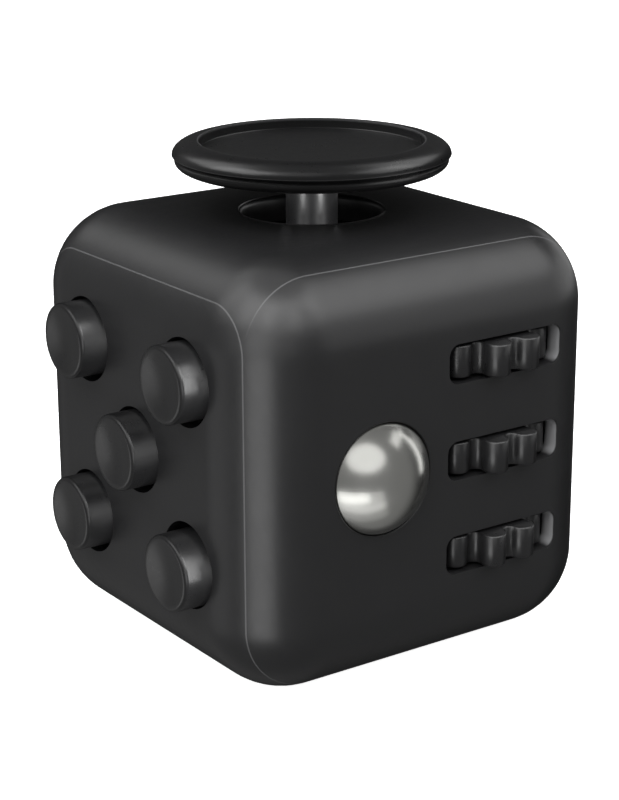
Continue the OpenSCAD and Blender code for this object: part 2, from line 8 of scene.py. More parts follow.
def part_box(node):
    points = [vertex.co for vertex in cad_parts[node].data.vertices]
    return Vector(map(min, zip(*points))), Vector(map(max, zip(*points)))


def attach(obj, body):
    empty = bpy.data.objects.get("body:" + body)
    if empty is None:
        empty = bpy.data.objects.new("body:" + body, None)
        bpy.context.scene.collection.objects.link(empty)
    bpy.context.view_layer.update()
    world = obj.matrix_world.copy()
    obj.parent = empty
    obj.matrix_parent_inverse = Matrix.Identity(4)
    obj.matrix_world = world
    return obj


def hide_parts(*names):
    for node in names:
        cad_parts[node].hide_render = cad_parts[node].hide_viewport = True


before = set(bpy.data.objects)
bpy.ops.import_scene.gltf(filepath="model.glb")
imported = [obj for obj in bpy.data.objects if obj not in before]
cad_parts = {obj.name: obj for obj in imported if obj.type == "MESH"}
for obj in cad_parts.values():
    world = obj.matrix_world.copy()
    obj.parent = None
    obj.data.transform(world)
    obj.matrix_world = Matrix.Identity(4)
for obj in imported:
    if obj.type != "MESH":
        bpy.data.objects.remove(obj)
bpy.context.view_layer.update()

# ---------------------------------------------------------------- case shells
# The case is four mouldings of black ABS: a body with the left, right and bottom walls, and
# a front, a back and a top cover that are pushed onto it. Their outside is one rounded cube,
# which hairline seams part into the four shells; a paler tone along the seams is a painted highlight of
# their edges.

MM = 0.001
SEAM_GAP = 0.06          # between two shells of the CAD model
HAIRLINE = 0.016         # what shows of it once the shells are pressed home
SEAM_ROUND = 3.5         # radius where side, front and top seams meet
EDGE_ROUND = 6.5         # radius of the case's edges and corners
WALL = 2.0
INNER_ROUND = 4.5        # radius of the hollow's edges
BROKEN_EDGE = 0.09       # width of the broken edges round mouths
MOUTH_SLOPE = 40         # steeper edges than this are broken, in degrees


def box_mm(*nodes):
    """Lowest and highest corner of some CAD nodes together, in millimetres."""
    corners = [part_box(node) for node in nodes]
    low = Vector([min(c[0][i] for c in corners) / MM for i in range(3)])
    high = Vector([max(c[1][i] for c in corners) / MM for i in range(3)])
    return low, high


def middle_mm(node):
    low, high = box_mm(node)
    return (low + high) / 2


def eased(corners, closed=True, steps=5):
    """A path through corners (u, v, radius) with each corner rounded to its radius."""
    path = []
    count = len(corners)
    for i, (u, v, radius) in enumerate(corners):
        here = Vector((u, v))
        if radius == 0 or (not closed and i in (0, count - 1)):
            path.append(here)
            continue
        back = (Vector(corners[i - 1][:2]) - here).normalized()
        ahead = (Vector(corners[(i + 1) % count][:2]) - here).normalized()
        half = back.angle(ahead) / 2
        centre = here + (back + ahead).normalized() * (radius / math.sin(half))
        first = here + back * (radius / math.tan(half)) - centre
        last = here + ahead * (radius / math.tan(half)) - centre
        turn = first.angle_signed(last)
        for k in range(steps + 1):
            spin = Matrix.Rotation(-turn * k / steps, 2)
            path.append(centre + spin @ first)
    return path


def along(axis, u, v, h):
    """Puts a point (u, v) of a section and its height h on an axis of the frame."""
    return {"x": (h, u, v), "y": (v, h, u), "z": (u, v, h)}[axis]


def turned(profile, axis, at=(0, 0, 0), steps=72, ring=False):
    """A lathe-turned solid: profile holds (radius, height) pairs from one end to the other."""
    points, faces, rows = [], [], []
    for radius, height in profile:
        if radius < 1e-6 and not ring:
            rows.append([len(points)])
            points.append(along(axis, 0, 0, height))
            continue
        rows.append(range(len(points), len(points) + steps))
        for k in range(steps):
            a = 2 * math.pi * k / steps
            points.append(along(axis, radius * math.cos(a), radius * math.sin(a), height))
    pairs = list(zip(rows, rows[1:] + rows[:1] if ring else rows[1:]))
    for low, high in pairs:
        for k in range(steps):
            n = (k + 1) % steps
            if len(low) == 1:
                faces.append([low[0], high[n], high[k]])
            elif len(high) == 1:
                faces.append([low[k], low[n], high[0]])
            else:
                faces.append([low[k], low[n], high[n], high[k]])
    return [Vector(p) + Vector(at) for p in points], faces


def slab(outline, axis, low, high, at=(0, 0, 0)):
    """A plate with that outline, from one height to another along an axis."""
    count = len(outline)
    points = [along(axis, p[0], p[1], h) for h in (low, high) for p in outline]
    faces = [list(range(count))[::-1], list(range(count, 2 * count))]
    faces += [[k, (k + 1) % count, count + (k + 1) % count, count + k] for k in range(count)]
    return [Vector(p) + Vector(at) for p in points], faces


def bar(low, high):
    """A straight bar between two corners."""
    corners = [(low[0], low[1]), (high[0], low[1]), (high[0], high[1]), (low[0], high[1])]
    return slab(corners, "z", low[2], high[2])


def rounded_cube(half, radius, turns, at=(0, 0, 0)):
    """A cube of six grids whose edges and corners are parts of cylinders and spheres."""
    flat = half - radius
    reach = [flat + radius * math.tan(math.radians(t)) for t in turns]
    cuts = sorted({-r for r in reach} | set(reach))
    points, faces = [], []
    for axis in range(3):
        for side in (-1, 1):
            start = len(points)
            for u in cuts:
                for v in cuts:
                    p = Vector((0, 0, 0))
                    p[axis], p[(axis + 1) % 3], p[(axis + 2) % 3] = side * half, u, v
                    q = Vector([max(-flat, min(flat, c)) for c in p])
                    points.append(q + (p - q).normalized() * radius + Vector(at))
            n = len(cuts)
            for i in range(n - 1):
                for j in range(n - 1):
                    a = start + i * n + j
                    faces.append([a, a + n, a + n + 1, a + 1][::side])
    return points, faces


def shape(name, *solids):
    """One object from closed solids, each of them (points, faces), in millimetres."""
    mesh = bpy.data.meshes.new(name)
    built = bmesh.new()
    for points, faces in solids:
        corners = [built.verts.new(p) for p in points]
        for face in faces:
            built.faces.new([corners[i] for i in face])
    bmesh.ops.remove_doubles(built, verts=built.verts, dist=1e-4)
    bmesh.ops.recalc_face_normals(built, faces=built.faces)
    built.to_mesh(mesh)
    built.free()
    piece = bpy.data.objects.new(name, mesh)
    bpy.context.scene.collection.objects.link(piece)
    return piece


def settle(piece):
    """Makes the result of a piece's modifiers its own mesh."""
    graph = bpy.context.evaluated_depsgraph_get()
    mesh = bpy.data.meshes.new_from_object(piece.evaluated_get(graph))
    piece.modifiers.clear()
    old, piece.data = piece.data, mesh
    bpy.data.meshes.remove(old)


def carve(piece, operation, *solids):
    """Cuts solids from a piece, keeps what they share, or joins them to it."""
    tool = shape("tool", *solids)
    step = piece.modifiers.new("carve", "BOOLEAN")
    step.operation, step.object, step.solver = operation, tool, "EXACT"
    settle(piece)
    bpy.data.objects.remove(tool)
    return piece


def break_edges(piece, width, steps=2, slope=MOUTH_SLOPE, harden=True, spared=None):
    """Rounds a piece's sharp edges off by that width, but not those at spared places."""
    built = bmesh.new()
    built.from_mesh(piece.data)
    weight = built.edges.layers.float.new("bevel_weight_edge")
    for edge in built.edges:
        kept = spared is not None and all(spared(corner.co) for corner in edge.verts)
        edge[weight] = float(edge.calc_face_angle(0) > math.radians(slope) and not kept)
    built.to_mesh(piece.data)
    built.free()
    step = piece.modifiers.new("edges", "BEVEL")
    step.width, step.segments = width, steps
    step.limit_method = "WEIGHT"
    step.use_clamp_overlap = False
    step.harden_normals = harden
    if harden:
        piece.data.shade_smooth()
    settle(piece)


def into_frame(piece, body, slot, finish, *nodes):
    """Brings a finished piece from millimetres into the frame and has it replace its nodes."""
    piece.data.transform(Matrix.Scale(MM, 4))
    piece.data.materials.clear()
    piece.data.materials.append(finish)
    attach(piece, body)
    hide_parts(*nodes)


class Wire:
    """A shader socket that takes part in ordinary sums."""

    def __init__(self, finish, socket):
        self.finish, self.socket = finish, socket

    def maths(self, operation, first, second):
        return self.finish.node("ShaderNodeMath", {"operation": operation}, {0: first, 1: second})

    def __add__(self, other):
        return self.maths("ADD", self, other)

    def __sub__(self, other):
        return self.maths("SUBTRACT", self, other)

    def __rsub__(self, other):
        return self.maths("SUBTRACT", other, self)

    def __mul__(self, other):
        return self.maths("MULTIPLY", self, other)

    def __pow__(self, other):
        return self.maths("POWER", self, other)

    def size(self):
        return self.maths("ABSOLUTE", self, 0)

    def most(self, other):
        return self.maths("MAXIMUM", self, other)

    def least(self, other):
        return self.maths("MINIMUM", self, other)

    __radd__, __rmul__ = __add__, __mul__


class Shading:
    """A node tree whose nodes come from node()."""

    def __init__(self, owner, coordinates):
        owner.use_nodes = True
        self.tree = owner.node_tree
        self.place = self.node("ShaderNodeTexCoord", out=coordinates)

    def node(self, kind, settings=None, inputs=None, out=0):
        made = self.tree.nodes.new(kind)
        for setting, value in (settings or {}).items():
            if setting == "stops":
                for stop, (place, colour) in zip(made.color_ramp.elements, value):
                    stop.position, stop.color = place, colour
            else:
                setattr(made, setting, value)
        for socket, value in (inputs or {}).items():
            self.feed(made.inputs[socket], value)
        return Wire(self, made.outputs[out])

    def feed(self, socket, value):
        if isinstance(value, Wire):
            self.tree.links.new(value.socket, socket)
        else:
            socket.default_value = value

    def coordinate(self, axis):
        return self.node("ShaderNodeSeparateXYZ", None, {"Vector": self.place}, out=axis)

    def along(self, direction):
        """How far the place lies along a direction."""
        return self.node("ShaderNodeVectorMath", {"operation": "DOT_PRODUCT"},
                         {0: self.place, 1: direction}, out="Value")

    def fade(self, value, low, high):
        """0 where a value is below low, 1 where it is above high, and smooth between."""
        return self.node("ShaderNodeMapRange", {"interpolation_type": "SMOOTHSTEP"},
                         {"Value": value, "From Min": low, "From Max": high})


class Finish(Shading):
    """A material with one Principled surface."""

    def __init__(self, name, **constants):
        self.material = bpy.data.materials.new(name)
        super().__init__(self.material, "Object")
        self.surface = self.tree.nodes["Principled BSDF"]
        for socket, value in constants.items():
            self.surface.inputs[socket.replace("_", " ")].default_value = value

    def noise(self, size_mm, detail=2, roughness=0.5):
        """Noise whose lumps are about size_mm across."""
        return self.node("ShaderNodeTexNoise", None, {
            "Vector": self.place, "Scale": 1 / (size_mm * MM),
            "Detail": detail, "Roughness": roughness}, out=0)

    def mix(self, share, first, second):
        """A colour between two colours."""
        return self.node("ShaderNodeMix", {"data_type": "RGBA"},
                         {0: share, 6: first, 7: second}, out=2)

    def bump(self, height, depth_mm, under=None):
        inputs = {"Height": height, "Distance": depth_mm * MM, "Strength": 1.0}
        if under is not None:
            inputs["Normal"] = under
        return self.node("ShaderNodeBump", None, inputs)

    def set(self, **wires):
        for socket, value in wires.items():
            self.feed(self.surface.inputs[socket.replace("_", " ")], value)
        return self.material


GRAIN = 0.004            # mm, how deep the moulded surface is textured


def moulded_plastic(name, dark, light, rough, highlight_lines=None, highlight_walls=None):
    """Spark-textured plastic: fine grain, faint flow clouds, gloss that varies a little.

    The last two say where a paler tone is painted in, as functions of the finish: painted highlights on
    edges and walls.
    """
    made = Finish(name, Specular_IOR_Level=0.5)
    clouds = made.noise(9, detail=3)
    speck = made.noise(0.35, detail=3, roughness=0.6)
    blotches = made.noise(2.4, detail=4, roughness=0.65)
    tone = made.mix(clouds * 0.7 + speck * 0.3, (*dark, 1), (*light, 1))
    # painted highlights: a paler tone mixed in where the masks say, thinned a little in patches
    if highlight_lines is not None:
        tone = made.mix(highlight_lines(made) * (blotches * 0.5 + 0.75), tone, HIGHLIGHT_TONE)
    if highlight_walls is not None:
        tone = made.mix(highlight_walls(made), tone, LIT_END_TONE)
    roughness = (blotches - 0.5) * 0.12 + (speck - 0.5) * 0.10 + rough
    return made.set(Base_Color=tone, Roughness=roughness,
                    Normal=made.bump(speck, GRAIN, made.bump(clouds, GRAIN * 2)))


body_high = box_mm("body_shell")[1]
case_half = body_high.x
centre_z = case_half
seam_y = body_high.y + SEAM_GAP / 2
seam_z = body_high.z + SEAM_GAP / 2
wall_in = case_half - WALL
centre = Vector((0, 0, centre_z))
BEYOND = 2 * case_half

# painted highlight: the paler tone laid along the seams and the disc's lines, and how wide it is
HIGHLIGHT_TONE = (0.075, 0.075, 0.077, 1)
HIGHLIGHT_WIDTH = 0.055       # from a seam's middle to where its painted highlight ends
HIGHLIGHT_CORE = 0.6          # share of that width which is painted fully
# the top seam's painted highlight fades out between these, from seam_z
FADE_LOW, FADE_HIGH = -2.2, 1.6


def seam_highlights(finish):
    """1 along the hairlines between the four shells and 0 elsewhere: where the seams' painted highlight
    goes.
    """
    y = finish.coordinate("Y").size() * (1 / MM)
    z = finish.coordinate("Z") * (1 / MM)
    # the body shell's outline is a box with round upper corners
    past_y = (y - (seam_y - SEAM_ROUND)).most(0)
    past_z = (z - (seam_z - SEAM_ROUND)).most(0)
    off_body = ((past_y ** 2 + past_z ** 2) ** 0.5 - SEAM_ROUND).size()
    off_top = (y - seam_y).size()
    over = finish.fade(z, seam_z + FADE_LOW, seam_z + FADE_HIGH)
    body_line = 1 - finish.fade(off_body, HIGHLIGHT_WIDTH * HIGHLIGHT_CORE, HIGHLIGHT_WIDTH)
    top_line = (1 - finish.fade(off_top, HIGHLIGHT_WIDTH * HIGHLIGHT_CORE, HIGHLIGHT_WIDTH)) * over
    return (body_line + top_line).least(1)


# the pale lines along the seams are painted highlights
case_black = moulded_plastic("case_black", (0.0090, 0.0090, 0.0095), (0.0120, 0.0120, 0.0125),
                             0.34, highlight_lines=seam_highlights)


def on_seam(place):
    """Whether a place lies on a hairline, where the shells meet with sharp edges."""
    y, z = abs(place.y), place.z
    past_y, past_z = max(y - seam_y + SEAM_ROUND, 0), max(z - seam_z + SEAM_ROUND, 0)
    off_body = abs(math.hypot(past_y, past_z) - SEAM_ROUND)
    off_top = abs(y - seam_y)
    return min(off_body, off_top) < 2 * HAIRLINE


# degrees round an edge at which the case's grid and the hollow's have their lines
EDGE_TURNS = (-3, 3, 8, 13, 18, 23.5, 29.5, 36, 40.5, 45)
INNER_TURNS = (0, 15, 30, 45)


def case_block():
    return rounded_cube(case_half, EDGE_ROUND, EDGE_TURNS, centre)


def case_room():
    return rounded_cube(wall_in, INNER_ROUND, INNER_TURNS, centre)


def body_zone(gap):
    """What the body shell takes of the case: all between the covers and under the top."""
    y, z, r = seam_y + gap, seam_z + gap, SEAM_ROUND + gap
    outline = eased([(-y, -BEYOND, 0), (y, -BEYOND, 0), (y, z, r), (-y, z, r)], steps=10)
    return slab(outline, "x", -BEYOND, BEYOND)


SHARP_TURN = 35          # degrees between faces that are shaded apart
NEAR_CUBE = 0.03         # how far off the exact rounded cube a corner may lie


def trued_normals(piece):
    """Shades the outer faces as the exact rounded cube, whatever cuts their mesh."""
    mesh = piece.data
    mesh.shade_smooth()
    mesh.set_sharp_from_angle(angle=math.radians(SHARP_TURN))
    normals = [corner.vector.copy() for corner in mesh.corner_normals]
    flat = case_half - EDGE_ROUND
    true = {}
    for vertex in mesh.vertices:
        p = vertex.co - centre
        q = Vector([max(-flat, min(flat, c)) for c in p])
        if abs((p - q).length - EDGE_ROUND) < NEAR_CUBE:
            true[vertex.index] = (p - q).normalized()
    for face in mesh.polygons:
        for loop in face.loop_indices:
            normal = true.get(mesh.loops[loop].vertex_index)
            if normal and normal.dot(face.normal) > 0.5:
                normals[loop] = normal
    mesh.normals_split_custom_set(normals)


def finish_shell(piece, finish, *nodes):
    break_edges(piece, BROKEN_EDGE, harden=False, spared=on_seam)
    trued_normals(piece)
    into_frame(piece, "case", "case_black", finish, *nodes)


body = shape("case_body", case_block())
carve(body, "INTERSECT", body_zone(-HAIRLINE / 2))
carve(body, "DIFFERENCE", case_room())

# mouths of the five buttons in the left wall
BUTTONS = ("button_upper_rear", "button_upper_front", "button_centre",
           "button_lower_rear", "button_lower_front")
BUTTON_GAP = 0.36
FLANGE_OVER = 0.64       # how far a button's flange reaches past its cap
# each cap hangs a little off the middle of its mouth
HANG = {button: 0.12 for button in BUTTONS} | {"button_lower_front": -0.24}
button_low, button_high = box_mm("button_centre")
button_r = (button_high.y - button_low.y) / 2 - FLANGE_OVER
mouth_r = button_r + BUTTON_GAP
mouths = [turned([(0, -case_half - 1), (mouth_r, -case_half - 1), (mouth_r, 1 - wall_in),
                  (0, 1 - wall_in)], "x", (0, middle_mm(b).y, middle_mm(b).z - HANG[b]))
          for b in BUTTONS]

# the flip switch's mouth in the right wall
rocker_low, rocker_high = box_mm("flip_rocker")
rocker_half = (rocker_high.y - rocker_low.y) / 2
rocker_pin = middle_mm("rocker_pin")
ROCKER_R = 6.3
rocker_mouth_y, rocker_mouth_z = rocker_half + 0.3, ROCKER_R + 0.25


def frame_outline(half_u, half_v, radius):
    return eased([(-half_u, -half_v, radius), (half_u, -half_v, radius),
                  (half_u, half_v, radius), (-half_u, half_v, radius)], steps=6)


mouths.append(slab(frame_outline(rocker_mouth_y, rocker_mouth_z, 0.6), "x",
                   wall_in - 1, case_half + 1, (0, 0, rocker_pin.z)))

# the thumb dish in the bottom, a part of a large sphere
DISH_R, DISH_DEPTH = 8.4, 1.4
dish_ball = (DISH_R ** 2 + DISH_DEPTH ** 2) / (2 * DISH_DEPTH)
dish_turns = [math.radians(d) for d in range(0, 32, 2)]
dish = [(dish_ball * math.sin(t), DISH_DEPTH - dish_ball * (1 - math.cos(t))) for t in dish_turns]
dish = [p for p in dish if p[1] > -1.2]
mouths.append(turned([*dish, (dish[-1][0], -2.5), (0, -2.5)], "z", (0, 0, 0)))
carve(body, "DIFFERENCE", *mouths)
finish_shell(body, case_black, "body_shell")

# the front cover, with three wheel slots and the ball's seat
front = shape("case_front", case_block())
seam_front = -seam_y - HAIRLINE / 2
carve(front, "INTERSECT", bar((-BEYOND, -BEYOND, -BEYOND), (BEYOND, seam_front, BEYOND)))
carve(front, "DIFFERENCE", case_room())

WHEELS = ("wheel_upper", "wheel_middle", "wheel_lower")
SLOT_HALF_X, SLOT_MARGIN, SLOT_ROUND = 5.35, 0.25, 0.85
# painted highlight: the pale tone of the slots' right end walls
LIT_END_TONE = (0.22, 0.22, 0.225, 1)
RELIEF, RELIEF_SKIN = 0.3, 1.6    # the slots are wider behind a skin of the front wall
slots, reliefs = [], []
for wheel in WHEELS:
    low, high = box_mm(wheel)
    half_z = (high.z - low.z) / 2 + SLOT_MARGIN
    slots.append(slab(frame_outline(half_z, SLOT_HALF_X, SLOT_ROUND), "y", -case_half - 1,
                      1 - wall_in, (middle_mm(wheel).x, 0, middle_mm(wheel).z)))
    reliefs.append(slab(frame_outline(half_z, SLOT_HALF_X + RELIEF, SLOT_ROUND), "y",
                        RELIEF_SKIN - case_half, 1.1 - wall_in,
                        (middle_mm(wheel).x, 0, middle_mm(wheel).z)))

ball_low, ball_high = box_mm("roll_ball")
ball_r = (ball_high.x - ball_low.x) / 2
ball_at = (ball_low + ball_high) / 2
seat_r = ball_r + 0.05
SEAT_BEVEL = 0.12
SEAT_LIP = 0.6           # straight part of the seat behind the front face
mouth_at = -case_half - ball_at.y
mouth_ball = math.sqrt(seat_r ** 2 - mouth_at ** 2)
lip = mouth_at + SEAT_LIP
seat = [(0, -case_half - 1 - ball_at.y), (mouth_ball + SEAT_BEVEL + 0.35, mouth_at - 1),
        (mouth_ball + SEAT_BEVEL + 0.02, mouth_at - 0.02),
        (mouth_ball + SEAT_BEVEL - 0.04, mouth_at + 0.05)]
start = math.asin(max(-1, lip / seat_r))
seat += [(seat_r * math.cos(start + (math.pi / 2 - start) * k / 16),
          seat_r * math.sin(start + (math.pi / 2 - start) * k / 16)) for k in range(17)]
seat[-1] = (0, seat_r)
seat = turned(seat, "y", ball_at, steps=96)
carve(front, "DIFFERENCE", *slots, seat)
carve(front, "DIFFERENCE", *reliefs)
slot_end = middle_mm("wheel_axle").x + SLOT_HALF_X


def lit_slot_ends(finish):
    """1 on the slots' right end walls, where a painted highlight goes."""
    x = finish.coordinate("X") * (1 / MM)
    y = finish.coordinate("Y") * (1 / MM)
    inside = finish.fade(y, -case_half + 0.17, -case_half + 0.3)
    shallow = 1 - finish.fade(y, -case_half + 1.0, -case_half + 2.2)
    level = 1 - finish.fade((finish.coordinate("Z") * (1 / MM) - centre_z).size(), 9.6, 9.9)
    return finish.fade(x, slot_end - 0.7, slot_end - 0.1) * (
        1 - finish.fade(x, slot_end + 0.02, slot_end + 0.05)) * inside * shallow * level


# painted highlights along the seams and on the slots' right end walls
front_black = moulded_plastic("front_black", (0.0090, 0.0090, 0.0095), (0.0120, 0.0120, 0.0125),
                              0.34, highlight_lines=seam_highlights, highlight_walls=lit_slot_ends)
finish_shell(front, front_black, "front_cover")

# the back cover, with the dial's pocket
back = shape("case_back", case_block())
carve(back, "INTERSECT", bar((-BEYOND, -seam_front, -BEYOND), (BEYOND, BEYOND, BEYOND)))
carve(back, "DIFFERENCE", case_room())
dial_low, dial_high = box_mm("spin_dial")
dial_r = dial_high.x
POCKET_DEPTH, POCKET_GAP, SHAFT_R = 1.1, 0.3, 2.05
pocket_floor = case_half - POCKET_DEPTH
pocket = [(0, case_half + 1), (dial_r + POCKET_GAP, case_half + 1),
          (dial_r + POCKET_GAP, pocket_floor), (SHAFT_R, pocket_floor), (SHAFT_R, 10), (0, 10)]
carve(back, "DIFFERENCE", turned(pocket, "y", centre))
finish_shell(back, case_black, "back_cover")

# the top cover, with the round hole that the joystick moves in
top = shape("case_top", case_block())
top_y = seam_y - HAIRLINE / 2
carve(top, "INTERSECT", bar((-BEYOND, -top_y, seam_z - SEAM_ROUND), (BEYOND, top_y, BEYOND)))
carve(top, "DIFFERENCE", body_zone(HAIRLINE / 2))
carve(top, "DIFFERENCE", case_room())
TOP_HOLE_R = 5.4
case_top = 2 * case_half
hole = [(0, case_top + 1), (TOP_HOLE_R + 0.4, case_top + 1), (TOP_HOLE_R + 0.26, case_top - 0.02),
        (TOP_HOLE_R + 0.08, case_top - 0.12), (TOP_HOLE_R, case_top - 0.35),
        (TOP_HOLE_R, case_top - WALL - 1), (0, case_top - WALL - 1)]
carve(top, "DIFFERENCE", turned(hole, "z", steps=96))
finish_shell(top, case_black, "top_cover")


def smooth(piece, slope=35):
    piece.data.shade_smooth()
    piece.data.set_sharp_from_angle(angle=math.radians(slope))
    return piece


# ---------------------------------------------------------------- joystick
# The thumb disc is two black mouldings pressed together at its widest line: a cap with a
# shallow recess and a saucer-shaped plate under it. The stem is pushed up into the plate.

control_black = moulded_plastic("control_black", (0.0095, 0.0095, 0.0100),
                                (0.0125, 0.0125, 0.0130), 0.30)
cap_low, cap_high = box_mm("thumb_cap")
plate_low, plate_high = box_mm("thumb_plate")
disc_r = cap_high.x
RECESS_R, RECESS_DEPTH = 8.65, 0.75
recess_floor = cap_high.z - RECESS_DEPTH


def quarter(r_in, r_out, z_from, z_to, steps=12):
    """A quarter of an ellipse from its widest point to its end over or under it."""
    turns = [math.radians(90 * k / steps) for k in range(steps + 1)]
    return [(r_in + (r_out - r_in) * math.cos(t), z_from + (z_to - z_from) * math.sin(t))
            for t in turns]


crest_r = RECESS_R + 0.12
cap_profile = [(0, cap_low.z), (disc_r - 0.05, cap_low.z), (disc_r, cap_low.z + 0.04),
               *quarter(crest_r, disc_r, cap_low.z + 0.06, cap_high.z),
               *eased([(RECESS_R + 0.02, cap_high.z - 0.02, 0), (RECESS_R, cap_high.z - 0.09, 0.03),
                       (RECESS_R - 0.03, recess_floor, 0.06), (0, recess_floor - 0.04, 0)],
                      closed=False)]
disc_cap = smooth(shape("thumb_disc_cap", turned(cap_profile, "z", steps=160)), 40)

# the plate's edge stands back under the cap's, which leaves a dark line between them
web = plate_low.z + 0.5
PLATE_BACK, GROOVE_DEPTH, GROOVE_HIGH = 0.18, 0.22, 0.34
edge_r = disc_r - PLATE_BACK
belly = quarter(RECESS_R + 0.35, edge_r, plate_high.z - GROOVE_HIGH, plate_low.z)
plate_profile = [(0, web), (RECESS_R - 0.9, web), (RECESS_R - 0.6, web - 0.1),
                 (RECESS_R - 0.1, plate_low.z + 0.06), (RECESS_R + 0.1, plate_low.z),
                 *belly[::-1], (edge_r - GROOVE_DEPTH * 0.6, plate_high.z - GROOVE_HIGH * 0.6),
                 (edge_r - GROOVE_DEPTH, plate_high.z - 0.08), (edge_r - GROOVE_DEPTH, plate_high.z),
                 (0, plate_high.z)]
disc_plate = smooth(shape("thumb_disc_plate", turned(plate_profile, "z", steps=160)), 40)


def disc_line_highlights(finish):
    """1 along the disc's widest line and round its recess, where painted highlights go."""
    x, y = finish.coordinate("X") * (1 / MM), finish.coordinate("Y") * (1 / MM)
    z = finish.coordinate("Z") * (1 / MM)
    out = (x ** 2 + y ** 2) ** 0.5
    widest = (1 - finish.fade((z - cap_low.z - 0.02).size(), 0.03, 0.06)) * finish.fade(
        out, disc_r - 0.2, disc_r - 0.1)
    crest = 1 - finish.fade((out - RECESS_R - 0.04).size(), 0.05, 0.09)
    return (widest + crest * finish.fade(z, cap_high.z - 0.2, cap_high.z - 0.1)).least(1)


# painted highlights along the disc's widest line and its recess's rim
disc_black = moulded_plastic("disc_black", (0.0095, 0.0095, 0.0100), (0.0125, 0.0125, 0.0130),
                             0.30, highlight_lines=disc_line_highlights)
into_frame(disc_cap, "stick", "control_black", disc_black, "thumb_cap")
into_frame(disc_plate, "stick", "control_black", control_black, "thumb_plate")

STEM_R, PRONG_IN, PRONG_OUT, PRONG_HALF, PIN_HOLE = 2.0, 1.6, 3.0, 1.3, 0.75
CROWN_R, SPIGOT_R = 3.3, 1.2     # the fork's root, and the peg in the plate
pivot = middle_mm("joint_cross")
collar_low, collar_high = box_mm("stick_collar")
stem_profile = [(0, collar_low.z + 0.2), (CROWN_R, collar_low.z + 0.2), (CROWN_R, collar_low.z + 0.4),
                *eased([(STEM_R, collar_low.z + 0.4, 0), (STEM_R, web - 0.02, 0.25),
                        (SPIGOT_R, web - 0.02, 0)], closed=False),
                (SPIGOT_R, plate_high.z - 0.05), (0, plate_high.z - 0.05)]
stem = shape("joystick_stem", turned(stem_profile, "z", steps=64))
fork = []
for side in (-1, 1):
    arch = [(collar_low.z + 0.3, -PRONG_HALF), (collar_low.z + 0.3, PRONG_HALF)]
    arch += [(pivot.z - PRONG_HALF * math.sin(math.radians(a)),
              PRONG_HALF * math.cos(math.radians(a))) for a in range(0, 181, 12)]
    ends = sorted((side * PRONG_IN, side * PRONG_OUT))
    fork.append(slab(arch, "y", *ends))
carve(stem, "UNION", *fork)
carve(stem, "DIFFERENCE", turned([(0, -5), (PIN_HOLE, -5), (PIN_HOLE, 5), (0, 5)], "y", pivot, 32))
smooth(stem)
into_frame(stem, "stick", "control_black", control_black, "stick_stem")

# the collar closes the hole under the top face; its back is domed, so it clears the wall
COLLAR_R = collar_high.x
dome = [(STEM_R + 0.02, 4.25), (2.6, 4.12), (3.2, 3.94), (3.8, 3.72), (4.4, 3.47), (4.9, 3.24),
        (5.4, 2.98), (COLLAR_R - 0.05, 2.7)]
collar_profile = [*[(r, pivot.z + h) for r, h in dome], (COLLAR_R, pivot.z + 2.6),
                  (COLLAR_R, collar_low.z + 0.1), (COLLAR_R - 0.1, collar_low.z),
                  (3.32, collar_low.z), (3.32, collar_low.z + 0.42),
                  (STEM_R + 0.02, collar_low.z + 0.42)]
collar = smooth(shape("joystick_collar", turned(collar_profile, "z", steps=96, ring=True)))
into_frame(collar, "stick", "control_black", control_black, "stick_collar")

# ---------------------------------------------------------------- buttons
# Five round black keys stand out of the left wall. Each is one moulding: a cap with an eased
# rim and a dished face, a flange that holds it behind the wall, and a foot on its dome.

RIM_ROUND = 0.34
FACE_DISH = 0.30
FOOT_R = 1.1
FLANGE_BACK, FLANGE_FRONT = 0.8, 0.1     # from the wall's inner face
keys = []
for node in BUTTONS:
    low, high = box_mm(node)
    at = Vector((0, (low.y + high.y) / 2, (low.z + high.z) / 2))
    face = low.x
    dish_r = button_r - RIM_ROUND
    flange_r = button_r + FLANGE_OVER
    profile = [(0, high.x), *eased([(FOOT_R, high.x, 0.15), (FOOT_R, FLANGE_BACK - wall_in, 0.1),
                                    (flange_r, FLANGE_BACK - wall_in, 0.12),
                                    (flange_r, FLANGE_FRONT - wall_in, 0.12),
                                    (button_r, FLANGE_FRONT - wall_in, 0.05), (button_r, face, 0)],
                                   closed=False, steps=3)[:-1]]
    profile += [(button_r - RIM_ROUND + RIM_ROUND * math.cos(math.radians(a)),
                 face + RIM_ROUND - RIM_ROUND * math.sin(math.radians(a))) for a in range(0, 91, 10)]
    profile += [(dish_r * k / 12, face + FACE_DISH * (1 - (k / 12) ** 2) ** 1.2)
                for k in range(11, 0, -1)] + [(0, face + FACE_DISH)]
    key = smooth(shape(node.replace("button", "key"), turned(profile, "x", at, steps=96)), 50)
    into_frame(key, node, "control_black", control_black, node)
    keys.append(key)

# ---------------------------------------------------------------- thumb wheels
# Three black cog wheels with ten round lobes turn on one steel axle behind the front slots.
# Each is moulded flat, with eased edges and a bore that runs on the axle.

LOBES, LOBE_R, HOLLOW_R, AXLE_GAP = 10, 0.98, 0.52, 1.05
REST_TURN = math.radians(14.5)   # from the front to the nearest lobe


